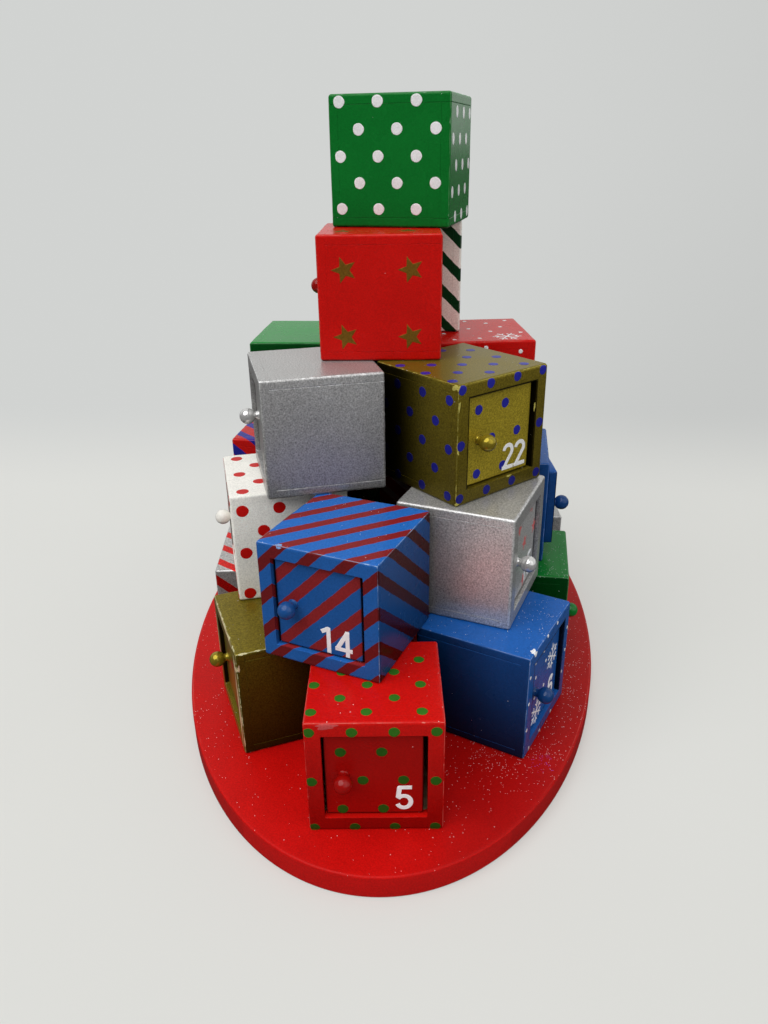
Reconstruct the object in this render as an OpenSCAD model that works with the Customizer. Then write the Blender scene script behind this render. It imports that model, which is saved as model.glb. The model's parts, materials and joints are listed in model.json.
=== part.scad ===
// Wooden advent calendar: cube boxes, each with a numbered door on hinge pins,
// stand in five steps on an oval base.
// The origin is the middle of the underside of the base. +Z is up, and +Y runs
// along the oval, away from the box that carries door 5.

/* [Boxes] */
// Outside size of each cube box
cube_side = 65; // [50:0.5:90]
// Thickness of the boards that close a box
board_t = 5; // [4:0.25:7]
// Thickness of the one-piece front frame
frame_t = 5; // [4.5:0.25:7]
// Width of the front frame round its opening
rail_w = 7.8; // [7:0.1:12]
// Radius of the sanded upright edges
edge_r = 1.5; // [0.5:0.1:2.5]
// Thickness of the glue film between two boards of a box
glue_t = 0.05; // [0.02:0.01:0.1]

/* [Doors] */
// Thickness of a door
door_t = 5; // [4:0.25:6]
// Distance of a door's face behind the front of its frame
door_recess = 2.3; // [1:0.1:2.6]
// Gap above and below a door
level_gap = 0.7; // [0.4:0.1:1.5]
// Gap at the edge that swings out
free_gap = 0.8; // [0.4:0.1:2]
// Gap at the hinge edge, which needs room to turn
hinge_gap = 1.8; // [1:0.1:3]
// Angle at which the one open door stands ajar
ajar_deg = 10; // [0:1:20]

/* [Knobs] */
// Diameter of the ball
knob_d = 9; // [7:0.5:12]
// Distance of the ball's centre from the door's face
knob_stand = 6.2; // [5:0.1:8]
// Diameter of the neck under the ball
neck_d = 4.4; // [3.6:0.1:5.5]
// Diameter of the tenon that is glued into the door
tenon_d = 3; // [2:0.1:3.4]
// Length of the tenon
tenon_l = 3; // [2:0.25:3.5]
// Distance of the knob from the door's free edge
knob_inset = 9; // [7:0.5:12]

/* [Hinge pins] */
// Diameter of a pin
pin_d = 1.2; // [0.8:0.1:1.4]
// Distance of the pins from the door's hinge edge
pin_inset = 2.2; // [1.6:0.1:3.5]
// Length of a pin inside the frame
pin_hold = 5; // [3:0.5:6]
// Length of a pin inside the door
pin_reach = 5; // [3:0.5:8]
// Radial clearance on which the door turns
pin_run = 0.06; // [0.02:0.01:0.1]

/* [Base] */
// Thickness of the base
base_t = 13; // [8:0.5:20]
// Bare rim of the base beside the widest boxes
side_rim = 18; // [10:0.5:40]
// Bare rim of the base beyond the two end boxes
end_rim = 26; // [15:0.5:60]

/* [Hidden] */
$fn = 64;
// Radial glue clearance of a pin in the frame, and of a tenon in its hole
glue_fit = 0.03;
// Room left between the end of a pin or tenon and the bottom of its hole
hole_room = 0.3;
// Number of flats that draw the oval
oval_flats = 180;
// The door that stands ajar
ajar_number = 16;

// One row for each box: its number, its level counted from the base, how far
// its middle lies across and along the base as shares of the cube's side, and
// the direction in degrees that its door faces, counted from +X towards +Y.
place_shares = [
    [1, 1, -0.945, 1.80, 156],
    [2, 1, -1.22, 0.62, 175],
    [3, 1, -1.193, -0.606, 185.6],
    [4, 1, -0.887, -1.84, 203.7],
    [5, 1, -0.02, -2.755, -86.7],
    [6, 1, 0.945, -1.80, -26.3],
    [7, 1, 1.221, -0.62, -6.5],
    [8, 1, 1.25, 0.62, 4],
    [9, 1, 0.89, 1.84, 24],
    [10, 1, 0.02, 2.755, 92],
    [11, 2, -0.45, 1.60, 125],
    [12, 2, -1.049, 0.185, 174.4],
    [13, 2, -0.946, -1.07, 196.4],
    [14, 2, -0.261, -2.18, -111.1],
    [15, 2, 0.739, -1.43, -20],
    [16, 2, 0.998, -0.33, -5.2],
    [17, 2, 0.80, 1.10, 20],
    [18, 3, 0.77, 0.09, 6.7],
    [19, 3, -0.05, 1.20, 85],
    [20, 3, -0.783, 0.04, 178.6],
    [21, 3, -0.615, -1.12, 197],
    [22, 3, 0.62, -1.14, -48.1],
    [23, 4, -0.063, -0.616, 182],
    [24, 4, 0.136, 0.49, 90],
    [25, 5, 0.112, -0.14, 78.7]
];

red = [0.72, 0.04, 0.04];
green = [0.02, 0.36, 0.10];
blue = [0.05, 0.20, 0.58];
gold = [0.42, 0.34, 0.07];
silver = [0.62, 0.62, 0.64];
white = [0.88, 0.87, 0.84];
steel = [0.50, 0.50, 0.52];
// Ground colour of each box and its door, in the order of their numbers
paints = [
    green, blue, silver, gold, red,
    blue, green, silver, gold, red,
    white, red, white, blue, silver,
    blue, red, red, blue, green,
    silver, gold, red, white, green
];

// Plan of a box, seen from above with its door towards -Y
half = cube_side / 2;
front_y = -half;
behind_frame_y = front_y + frame_t + glue_t;
inner_half = half - board_t - glue_t;
inner_back_y = half - board_t - glue_t;

// Opening of the front frame, and the door in it
opening_w = cube_side - 2 * rail_w;
door_left = -opening_w / 2 + free_gap;
door_right = opening_w / 2 - hinge_gap;
door_low = rail_w + level_gap;
door_high = cube_side - rail_w - level_gap;
door_face_y = front_y + door_recess;
knob_x = door_left + knob_inset;
knob_z = cube_side / 2;

// Hinge axis: as deep as the middle of what door and frame share
pin_x = door_right - pin_inset;
pin_y = front_y + (door_recess + frame_t) / 2;
pin_l = pin_hold + level_gap + pin_reach;
low_pin_z = rail_w - pin_hold;
high_pin_z = cube_side - rail_w + pin_hold - pin_l;

// The oval clears the lowest boxes by its rims
function turned_half(deg) = (abs(cos(deg)) + abs(sin(deg))) * half;
lowest = [for (row = place_shares) if (row[1] == 1) row];
reach_x = max([for (row = lowest) abs(row[2]) * cube_side + turned_half(row[4])]);
reach_y = max([for (row = lowest) abs(row[3]) * cube_side + turned_half(row[4])]);
oval_x = reach_x + side_rim;
oval_y = reach_y + end_rim;

function two_digits(number) = str(number < 10 ? "0" : "", number);
function box_name(row) = str("box_", two_digits(row[0]));
function door_name(row) = str("door_", two_digits(row[0]));
function paint_of(row) = paints[row[0] - 1];

// Puts its children where a box of the table stands
module at_place(row) {
    level_z = base_t + (row[1] - 1) * cube_side;
    translate([row[2] * cube_side, row[3] * cube_side, level_z])
        rotate([0, 0, row[4] + 90])
            children();
}

// Turns its children about the hinge of their box
module swung(deg) {
    translate([pin_x, pin_y, 0])
        rotate([0, 0, deg])
            translate([-pin_x, -pin_y, 0])
                children();
}

// Outline of a whole box from above, with its four corners rounded
module box_plan() {
    straight = cube_side - 2 * edge_r;
    square([cube_side, straight], center = true);
    square([straight, cube_side], center = true);
    for (x = [-1, 1], y = [-1, 1]) {
        translate([x * straight / 2, y * straight / 2])
            circle(r = edge_r);
    }
}

// The part of that outline between two depths and two sides
module plan_strip(x0, x1, y0, y1) {
    intersection() {
        box_plan();
        translate([x0, y0])
            square([x1 - x0, y1 - y0]);
    }
}

// Board that lies across the whole top or bottom, behind the front frame
module cover_board() {
    linear_extrude(board_t)
        plan_strip(-half, half, behind_frame_y, half);
}

// The two pins of one door
module pin_pair(radius, room) {
    translate([pin_x, pin_y, low_pin_z - room])
        cylinder(r = radius, h = pin_l + 2 * room);
    translate([pin_x, pin_y, high_pin_z - room])
        cylinder(r = radius, h = pin_l + 2 * room);
}

// One-piece frame with its square opening and the holes for the pins
module front_frame() {
    difference() {
        linear_extrude(cube_side)
            plan_strip(-half, half, front_y, front_y + frame_t);
        translate([-opening_w / 2, front_y - frame_t, rail_w])
            cube([opening_w, 3 * frame_t, opening_w]);
        pin_pair(pin_d / 2 + glue_fit, hole_room);
    }
}

module box(row) {
    wall_h = cube_side - 2 * (board_t + glue_t);
    color(paint_of(row)) at_place(row) {
        front_frame();
        cover_board();
        translate([0, 0, cube_side - board_t])
            cover_board();
        translate([0, 0, board_t + glue_t])
            linear_extrude(wall_h) {
                plan_strip(-half, -half + board_t, behind_frame_y, half);
                plan_strip(half - board_t, half, behind_frame_y, half);
                plan_strip(-inner_half, inner_half, half - board_t, half);
            }
    }
}

// Turned ball on a neck, with a tenon that goes into the door
module knob() {
    translate([knob_x, door_face_y, knob_z])
        rotate([90, 0, 0]) {
            translate([0, 0, knob_stand])
                sphere(d = knob_d);
            translate([0, 0, glue_t])
                cylinder(d = neck_d, h = knob_stand - glue_t);
            translate([0, 0, -tenon_l])
                cylinder(d = tenon_d, h = tenon_l + glue_t);
        }
}

// Board with two pin holes on its hinge edge and a blind hole for the knob
module door_board() {
    tenon_hole_l = tenon_l + hole_room;
    difference() {
        translate([door_left, door_face_y, door_low])
            cube([door_right - door_left, door_t, door_high - door_low]);
        pin_pair(pin_d / 2 + pin_run, hole_room);
        translate([knob_x, door_face_y + tenon_hole_l, knob_z])
            rotate([90, 0, 0])
                cylinder(d = tenon_d + 2 * glue_fit, h = 2 * tenon_hole_l);
    }
}

module door(row) {
    color(paint_of(row)) at_place(row)
        swung(row[0] == ajar_number ? ajar_deg : 0) {
            door_board();
            knob();
        }
}

module hinge_pins() {
    color(steel)
        for (row = place_shares) {
            at_place(row)
                pin_pair(pin_d / 2, 0);
        }
}

module base_plate() {
    color(red)
        linear_extrude(base_t)
            polygon([
                for (i = [0 : oval_flats - 1])
                    let (deg = i * 360 / oval_flats)
                        [oval_x * cos(deg), oval_y * sin(deg)]
            ]);
}

base_plate();
hinge_pins();
for (row = place_shares) {
    box(row);
    door(row);
}
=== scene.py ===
import json
import math

import bpy
import numpy as np
from mathutils import Matrix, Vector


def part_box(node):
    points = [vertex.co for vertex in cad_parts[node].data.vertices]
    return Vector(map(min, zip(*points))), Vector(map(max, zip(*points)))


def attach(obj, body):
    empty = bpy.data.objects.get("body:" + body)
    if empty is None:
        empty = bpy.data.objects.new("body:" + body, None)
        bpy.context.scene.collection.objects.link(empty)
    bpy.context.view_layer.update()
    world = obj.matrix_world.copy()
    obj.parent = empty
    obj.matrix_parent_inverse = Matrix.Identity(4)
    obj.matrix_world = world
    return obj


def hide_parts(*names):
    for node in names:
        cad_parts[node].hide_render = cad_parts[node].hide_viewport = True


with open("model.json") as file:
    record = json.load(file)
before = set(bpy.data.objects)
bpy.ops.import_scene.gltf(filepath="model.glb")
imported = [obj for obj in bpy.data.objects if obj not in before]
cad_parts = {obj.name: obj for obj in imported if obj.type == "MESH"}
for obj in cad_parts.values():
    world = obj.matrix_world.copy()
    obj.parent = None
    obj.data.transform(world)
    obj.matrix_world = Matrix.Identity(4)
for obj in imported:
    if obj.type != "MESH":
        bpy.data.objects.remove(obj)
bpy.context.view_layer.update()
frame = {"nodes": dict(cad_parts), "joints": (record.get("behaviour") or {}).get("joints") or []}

MM = 0.001


# Oval base
# One thick board sawn to an oval. Its top edge is rounded by sanding, and it is
# painted red and dusted with white glitter. The ten lowest boxes are glued on it.
BASE_RED = (0.55, 0.004, 0.003)
BASE_WORN = (0.66, 0.12, 0.10)
BASE_TOP_ROUND = 1.2 * MM
BASE_FOOT_ROUND = 0.8 * MM
OVAL_STEPS = 240
# Drifts of glitter on the base: middle and reach in millimetres, and how much
DRIFTS = [(120, -60, 30, 5.0), (105, -110, 24, 6.0), (84, -146, 18, 8.0), (56, -158, 20, 5.0),
          (34, -200, 12, 1.5), (87, -163, 7, 14.0), (-96, -110, 45, 1.5)]
# Tones of painted shade on the base, in the order that paint gives: its sides, and
# the right of its top, are painted darker
BASE_PAINTED_SHADE = (0.8, 0.9, 1.0, 1.0, 1.0, 0.70, 1.0, 1.0)
# Colour of a grain of glitter, width of the cell in which one may lie, and its
# radius as a share of that width: the least, and how much more it may be
GLITTER = (0.80, 0.81, 0.84)
GRAIN_CELL = 0.9 * MM
GRAIN_LEAST, GRAIN_MORE = 0.08, 0.17
# Colour of some grains beside the box with door 6, where they lie, and how far round
VIOLET = (0.20, 0.12, 0.75)
VIOLET_AT = (87.4 * MM, -163.5 * MM, 13 * MM)
VIOLET_REACH = 8 * MM


def together(*coordinates):
    """Points from their coordinates, of which each may be the same for several."""
    return np.stack(np.broadcast_arrays(*coordinates), axis=-1)


def unit(vectors):
    """The directions of vectors: each divided by its length."""
    return vectors / np.linalg.norm(vectors, axis=-1, keepdims=True)


def oval(angle, half_x, half_y):
    """Points of an oval at the given angles, or of a circle if it is as wide as high."""
    return together(half_x * np.cos(angle), half_y * np.sin(angle))


def closed_shell(points, quads, finish=0):
    """One closed surface from a grid of points and its four-cornered faces.
    Points that coincide are merged, a face that then repeats a corner loses it,
    and all faces are turned round if the volume they enclose is negative."""
    _, first, merged = np.unique(
        np.round(points / 1e-8).astype(np.int64), axis=0,
        return_index=True, return_inverse=True,
    )
    points = points[first]
    quads = merged.reshape(-1)[quads]
    repeats = quads == np.roll(quads, -1, axis=1)
    how_many = repeats.sum(axis=1)
    pinched = quads[how_many == 1]
    tris = pinched[~repeats[how_many == 1]].reshape(-1, 3)
    quads = quads[how_many == 0]
    if enclosed(points, quads, tris) < 0:
        quads, tris = quads[:, ::-1], tris[:, ::-1]
    return {"points": points, "quads": quads, "tris": tris, "finish": finish}


def enclosed(points, quads, tris):
    """Volume inside the faces: each triangle and the origin span a pyramid."""
    fans = np.concatenate([quads[:, [0, 1, 2]], quads[:, [0, 2, 3]], tris])
    a, b, c = (points[fans[:, k]] for k in range(3))
    return float((a * np.cross(b, c)).sum() / 6)


def grid_quads(rows, columns, round_rows=False, round_columns=False):
    """Faces between neighbours of a rows by columns grid, counted row by row.
    A direction that is round joins its last line to its first."""
    i = np.arange(rows if round_rows else rows - 1)
    j = np.arange(columns if round_columns else columns - 1)
    i, j = (g.ravel() for g in np.meshgrid(i, j, indexing="ij"))
    i2, j2 = (i + 1) % rows, (j + 1) % columns
    return together(i * columns + j, i * columns + j2, i2 * columns + j2, i2 * columns + j)


def surface(grid, round_rows=False):
    """Points and faces of a grid of points that is round in its second direction."""
    return grid.reshape(-1, 3), grid_quads(*grid.shape[:2], round_rows, True)


def quarter(radius, steps=6):
    """Points along a quarter circle: how far in they lie, and how far up."""
    t = np.linspace(0, math.pi / 2, steps)
    return radius * (1 - np.sin(t)), radius * (1 - np.cos(t))


def dust_on_base(points):
    """How much glitter lies at a point: little everywhere, more in drifts, each
    a bell curve of the distance from its middle."""
    little = 0.55
    dust = np.full(len(points), little)
    for x, y, reach, much in DRIFTS:
        far = np.hypot(points[:, 0] - x * MM, points[:, 1] - y * MM) / (reach * MM)
        dust += much * np.exp(-far ** 2)
    return dust


def oval_board(half_x, half_y, thick):
    """Closed oval board on a grid of profile by angle. A point is the oval at
    that angle, shrunk towards the middle and moved in along the oval's normal,
    at a height. The profile runs from the middle of the underside, round the
    edge, to the middle of the top."""
    foot_in, foot_up = quarter(BASE_FOOT_ROUND)
    top_up, top_in = quarter(BASE_TOP_ROUND, 9)
    inward = [0.99, 0.975, 0.95, 0.92, 0.88, 0.83, 0.77, 0.7, 0.6, 0.4, 0]
    outward = [0, 0.5, 0.95]
    shrink = np.concatenate([outward, np.ones(len(foot_in) + len(top_in)), inward])
    inset = np.concatenate([np.full(len(outward), BASE_FOOT_ROUND), foot_in, top_in,
                            np.full(len(inward), BASE_TOP_ROUND)])
    height = np.concatenate([np.zeros(len(outward)), foot_up, thick - top_up,
                             np.full(len(inward), thick)])
    angle = np.arange(OVAL_STEPS) * 2 * math.pi / OVAL_STEPS
    normal = unit(oval(angle, 1 / half_x, 1 / half_y))
    ring = oval(angle, half_x, half_y) - inset[:, None, None] * normal
    ring *= shrink[:, None, None]
    shell = closed_shell(*surface(together(ring[..., 0], ring[..., 1], height[:, None])))
    rim = np.linalg.norm(shell["points"][:, :2] / (half_x, half_y), axis=1)
    high = shell["points"][:, 2] / thick
    shell["wear"] = np.clip(1 - np.abs(rim - 0.992) * 120, 0, 1) * (high > 0.7)
    shell["dust"] = dust_on_base(shell["points"])
    shell["place"] = shell["points"] / half_x
    return shell


def stand(name, data):
    """A new object in the scene, of a mesh, a lamp or a camera."""
    made = bpy.data.objects.new(name, data)
    bpy.context.scene.collection.objects.link(made)
    return made


def join_shells(name, shells, finishes, body, replaced):
    """Makes one object of closed shells, each with the number of its finish, and
    stores four things for the paint: the place on the piece, the wear of edges,
    how much painted shade of a gap lies on a point, and how much glitter lies there."""
    points, faces, finish, place = [], [], [], []
    count = 0
    for shell in shells:
        points.append(shell["points"])
        faces += (shell["quads"] + count).tolist() + (shell["tris"] + count).tolist()
        count += len(shell["points"])
        how_many = len(shell["quads"]) + len(shell["tris"])
        finish.append(np.broadcast_to(shell["finish"], how_many))
        place.append(shell["place"])
    mesh = bpy.data.meshes.new(name)
    mesh.from_pydata(np.concatenate(points).tolist(), [], faces)
    mesh.polygons.foreach_set("material_index", np.concatenate(finish).astype(np.int32))
    mesh.shade_smooth()
    layer = mesh.attributes.new("place", "FLOAT_VECTOR", "POINT")
    layer.data.foreach_set("vector", np.concatenate(place).astype(np.float32).ravel())
    for key, usual in (("wear", 0.0), ("deep", 0.0), ("dust", 1.0)):
        values = [shell.get(key, np.full(len(shell["points"]), usual)) for shell in shells]
        layer = mesh.attributes.new(key, "FLOAT", "POINT")
        layer.data.foreach_set("value", np.concatenate(values).astype(np.float32))
    mesh.validate()
    for material in finishes:
        mesh.materials.append(material)
    made = stand(name, mesh)
    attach(made, body)
    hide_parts(*replaced)
    return made


def feed(tree, made, inputs):
    """Sets or links the inputs of a node."""
    for key, value in inputs.items():
        if isinstance(value, bpy.types.NodeSocket):
            tree.links.new(value, made.inputs[key])
        else:
            made.inputs[key].default_value = value


def node(tree, kind, inputs, **settings):
    """One shader node with its settings and its input values or links."""
    made = tree.nodes.new("ShaderNode" + kind)
    for key, value in settings.items():
        setattr(made, key, value)
    feed(tree, made, inputs)
    return made


def new_material(name):
    """A material, its nodes, its shader, and the place on the piece."""
    made = bpy.data.materials.new(name)
    made.use_nodes = True
    tree = made.node_tree
    where = node(tree, "TexCoord", {}).outputs["Object"]
    return made, tree, tree.nodes["Principled BSDF"], where


def sums(tree, operation, *values):
    """Result of one Math node."""
    return node(tree, "Math", dict(enumerate(values)), operation=operation).outputs[0]


def times(tree, product, *others):
    """Product of all values."""
    for other in others:
        product = sums(tree, "MULTIPLY", product, other)
    return product


def ramp(tree, value, slope, start):
    """The value times a slope, plus a start."""
    return sums(tree, "MULTIPLY_ADD", value, slope, start)


def fade(tree, value, low, high):
    """0 below low, 1 above high, and a smooth rise between."""
    made = node(tree, "MapRange", {0: value, 1: low, 2: high}, interpolation_type="SMOOTHSTEP")
    return made.outputs[0]


def blotches(tree, where, size, detail=3.0):
    """Cloudy values from 0 to 1 with blotches about as large as size."""
    inputs = {"Vector": where, "Scale": 1 / size, "Detail": detail}
    return node(tree, "TexNoise", inputs).outputs[0]


def mixed(tree, share, below, above):
    """Colour between two colours or colour sockets."""
    made = node(tree, "Mix", {0: share, 6: below, 7: above}, data_type="RGBA")
    return made.outputs[2]


def toned(tree, colour, tone):
    """A colour made lighter or darker by a tone."""
    return node(tree, "VectorMath", {0: colour, "Scale": tone}, operation="SCALE").outputs[0]


def dotted(tree, first, second):
    """How far one vector reaches along another."""
    made = node(tree, "VectorMath", {0: first, 1: second}, operation="DOT_PRODUCT")
    return made.outputs["Value"]


def parts(tree, vector):
    """The three parts of a vector or colour."""
    return node(tree, "SeparateXYZ", {0: vector}).outputs


def stored(tree, name, output="Fac"):
    """What the mesh stores at each point under a name."""
    return node(tree, "Attribute", {}, attribute_name=name).outputs[output]


def facing_up(tree):
    """1 where a face looks straight up, 0 where it is upright, -1 underneath."""
    return parts(tree, node(tree, "NewGeometry", {}).outputs["Normal"])[2]


def tone_of(tree, masks):
    """The product of all shares, of which each counts as far as its mask is 1."""
    tone = 1.0
    for mask, share in masks:
        change = sums(tree, "SUBTRACT", share, 1.0)
        tone = times(tree, tone, ramp(tree, mask, change, 1.0))
    return tone


def solid(colour):
    """A colour that nothing shows through."""
    return (*colour, 1.0)


def striped(tree, where, ground, stripes):
    """Ground colour with slabs of a second colour across the piece's own axes.
    Their edges shake a little, as edges of tape do. The second colour has painted
    shade of its own on the piece's two sides, on its top, and on its foremost face."""
    across, pitch, width, shift, second, *shares = stripes
    shake, soft = 0.02, 0.008
    place = stored(tree, "place", "Vector")
    shaky = ramp(tree, blotches(tree, where, 4 * MM), shake, shift)
    along = sums(tree, "ADD", dotted(tree, place, across), shaky)
    band = sums(tree, "PINGPONG", sums(tree, "DIVIDE", along, pitch), 0.5)
    out_x, out_y, out_z = parts(tree, place)
    outward = (sums(tree, "ABSOLUTE", out_x), out_z, times(tree, out_y, -1.0))
    # Painted shade of the second colour on the sides, top and front
    tone = tone_of(tree, [(fade(tree, out, 0.485, 0.499), share)
                          for out, share in zip(outward, shares)])
    edge = width / pitch / 2
    return mixed(tree, fade(tree, band, edge + soft, edge - soft),
                 solid(ground), toned(tree, second, tone))


def rubbed_edges(tree, where, chips):
    """How far the paint is worn off: a fine broken line on each outside edge, and
    patches beside it where a cloudy pattern is high."""
    edge = stored(tree, "wear")
    broken = fade(tree, blotches(tree, where, 9 * MM, 4.0), 0.36, 0.62)
    line = times(tree, fade(tree, edge, 0.80, 0.97), broken, 0.55)
    spread = ramp(tree, blotches(tree, where, 3 * MM, 5.0), 1.6, edge)
    least = 2.08 - chips * 0.45
    patch = fade(tree, spread, least, least + 0.12)
    return sums(tree, "MAXIMUM", line, times(tree, patch, 0.85))


def glitter_specks(tree, where, amount):
    """1 on grains of glitter, and a random number for each. Some of the cells, more
    in drifts and where a face looks up, hold a grain of random size."""
    cells = node(tree, "TexVoronoi", {"Vector": where, "Scale": 1 / GRAIN_CELL, "Randomness": 1.0})
    pick = parts(tree, cells.outputs["Color"])
    inside = sums(tree, "LESS_THAN", cells.outputs["Distance"],
                  ramp(tree, pick[1], GRAIN_MORE, GRAIN_LEAST))
    drift = fade(tree, blotches(tree, where, 30 * MM), 0.40, 0.70)
    often = times(tree, ramp(tree, drift, 0.07, 0.03), amount, stored(tree, "dust"),
                  fade(tree, facing_up(tree), -0.1, 0.9))
    return times(tree, inside, sums(tree, "LESS_THAN", pick[0], often)), pick[2]


def lie_of_face(tree, foot, head, back, inner, top_left, top_right, front_foot, front_head):
    """Painted light and shade of a face by how it lies. The piece's own left and
    right side have the tone foot low down and head high up, and darken to back
    towards the back, which has the tone inner. The top has a tone on its left and
    one on its right, and the front has one at its foot and one at its head. What
    is in a gap gets painted shade, almost black, unless it faces up, and what faces
    down gets painted shade."""
    upward = facing_up(tree)
    upper = fade(tree, upward, 0.5, 0.9)
    level = sums(tree, "SUBTRACT", 1.0, upper)
    across, inward, high = parts(tree, stored(tree, "place", "Vector"))

    def outermost(out):
        return times(tree, level, fade(tree, out, 0.488, 0.499))

    def rising(low, top):
        return node(tree, "MapRange", {0: high, 1: -0.5, 2: 0.5, 3: low, 4: top}).outputs[0]

    backward = tone_of(tree, [(fade(tree, inward, -0.35, 0.25), back)])
    rightward = ramp(tree, fade(tree, across, 0.05, 0.4), top_right - top_left, top_left)
    return tone_of(tree, [
        (outermost(sums(tree, "ABSOLUTE", across)), times(tree, rising(foot, head), backward)),
        (upper, rightward),
        (outermost(times(tree, inward, -1.0)), rising(front_foot, front_head)),
        (outermost(inward), inner),
        # Painted shade: what faces down, and what lies in a gap
        (fade(tree, upward, -0.2, -0.8), 0.3),
        (times(tree, stored(tree, "deep"), level), 0.05),
    ])


NO_PAINTED_LIGHT = (1.0,) * len(BASE_PAINTED_SHADE)


def paint(name, colour, worn, rough=0.30, metal=0.0, grain=0.05, glitter=0.5,
          chips=0.5, stripes=None, specular=0.12, sides=NO_PAINTED_LIGHT):
    """Brushed paint on board: a ground colour mottled in large and small blotches
    and flecked like metal paint where grain is high, worn pale along the edges,
    with grains of glitter on top. Brush strokes raise it a little. The sides are
    eight tones of painted light and shade: of the two sides at their foot, head
    and back, of the back, of the top on its left and right, and of the front at
    its foot and head."""
    made, tree, shader, where = new_material(name)
    cloud, fleck, brushed = 22 * MM, 0.8 * MM, 2.5 * MM
    ground = striped(tree, where, colour, stripes) if stripes else colour
    patch = blotches(tree, where, cloud)
    fine = blotches(tree, where, fleck)
    speckle = ramp(tree, fine, 8 * grain, -4 * grain)
    tone = sums(tree, "ADD", ramp(tree, patch, 0.24, 0.88), speckle)
    # The mottled tone times the painted light and shade of how the face lies
    tone = times(tree, sums(tree, "MAXIMUM", tone, 0.05), lie_of_face(tree, *sides))
    rubbed = rubbed_edges(tree, where, chips)
    ground = mixed(tree, rubbed, toned(tree, ground, tone), solid(worn))
    specks, pick = glitter_specks(tree, where, glitter)
    away = node(tree, "VectorMath", {0: where, 1: VIOLET_AT}, operation="DISTANCE")
    violet = times(tree, sums(tree, "LESS_THAN", away.outputs["Value"], VIOLET_REACH),
                   sums(tree, "GREATER_THAN", pick, 0.35))
    ground = mixed(tree, specks, ground, mixed(tree, violet, solid(GLITTER), solid(VIOLET)))
    gloss = ramp(tree, rubbed, 0.2, ramp(tree, patch, 0.12, rough - 0.06))
    relief = ramp(tree, fine, 0.3, blotches(tree, where, brushed, 4.0))
    relief = ramp(tree, rubbed, -0.8, ramp(tree, specks, 1.2, relief))
    bump = node(tree, "Bump", {"Height": relief, "Strength": 0.4, "Distance": 0.1 * MM})
    feed(tree, shader, {"Base Color": ground, "Roughness": gloss, "Metallic": metal,
                        "Specular IOR Level": specular, "Normal": bump.outputs[0]})
    return made


_, base_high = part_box("base_plate")
base = oval_board(base_high.x, base_high.y, base_high.z)
base_paint = paint("base_paint", BASE_RED, BASE_WORN, rough=0.42, glitter=1.3, chips=0.35,
                   grain=0.10, sides=BASE_PAINTED_SHADE)
join_shells("oval_base", [base], [base_paint], "stack", ["base_plate"])


# Hinge pins
# Fifty pins cut from plain steel wire, two for each door. They sit in holes of
# the front frame and of the door, so that only 0.7 mm of each one shows.
wire, wire_tree, wire_shader, wire_where = new_material("pin_wire")
wire_tone = ramp(wire_tree, blotches(wire_tree, wire_where, 0.5 * MM), 0.3, 0.35)
feed(wire_tree, wire_shader, {"Base Color": toned(wire_tree, (1, 1, 1), wire_tone),
                              "Metallic": 1.0, "Roughness": 0.38})
pins = frame["nodes"]["hinge_pins"]
pins.data.materials.clear()
pins.data.materials.append(wire)


# Boxes
# Each is a cube of six glued boards: a one-piece front frame, top and bottom boards
# that lie over the sides, and a back between them. Its outside edges are sanded
# round. Paint covers all but the inside, and the joints show as fine seams.
SIDE = 65 * MM
HALF = SIDE / 2
BOARD = 5 * MM
FILM = 0.05 * MM
DOORWAY = 24.7 * MM
CORNER = 0.8 * MM
# Ease of a board's edge where a seam shows, where paint half fills it, and where it
# is filled flush
SEAM = 0.28 * MM
FAINT = 0.04 * MM
FILLED = 0.02 * MM
SEAMS = {4: SEAM, 6: SEAM, 15: 0.16 * MM, 21: SEAM, 22: 0.16 * MM, 25: SEAM}
# Wear along the seams of two boxes, and how far it reaches
PALE_SEAMS = {6: 0.75, 21: 1.0}
PALE_REACH = 0.9 * MM
# Radius of the sanded edges, and how far it varies
ROUND = 1.5 * MM
ROUND_VARIES = 0.28
# Where a door's pins stand in its box, and how many degrees it stands ajar
HINGE = (20.7 * MM, -28.85 * MM)
AJAR = {16: 10.0}
# How far inside the doorway the painted shade of the gap starts, where it isn't at the front
GAP_SHADE_STARTS = {5: 2.0 * MM, 14: 2.0 * MM, 15: 2.0 * MM, 21: 1.8 * MM}

# Colour of a paint, and its colour where it is worn
PAINTS = {
    "red": ((0.60, 0.006, 0.004), (0.72, 0.20, 0.16)),
    "green": ((0.004, 0.17, 0.022), (0.18, 0.36, 0.20)),
    "blue": ((0.012, 0.095, 0.36), (0.30, 0.38, 0.62)),
    "sky": ((0.016, 0.105, 0.37), (0.36, 0.50, 0.74)),
    "gold": ((0.19, 0.145, 0.013), (0.74, 0.70, 0.42)),
    "silver": ((0.43, 0.425, 0.42), (0.85, 0.85, 0.84)),
    "white": ((0.95, 0.925, 0.86), (0.95, 0.93, 0.88)),
    "royal": ((0.018, 0.020, 0.30), (0.20, 0.20, 0.60)),
    "dark_red": ((0.25, 0.018, 0.020), (0.50, 0.20, 0.18)),
    "rose": ((0.66, 0.14, 0.14), (0.75, 0.40, 0.40)),
    "leaf": ((0.035, 0.16, 0.012), (0.20, 0.35, 0.15)),
    "dark_green": ((0.003, 0.045, 0.012), (0.15, 0.30, 0.18)),
    "old_gold": ((0.24, 0.12, 0.015), (0.60, 0.50, 0.12)),
    "print": ((0.89, 0.89, 0.90), (0.89, 0.89, 0.90)),
}
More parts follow.
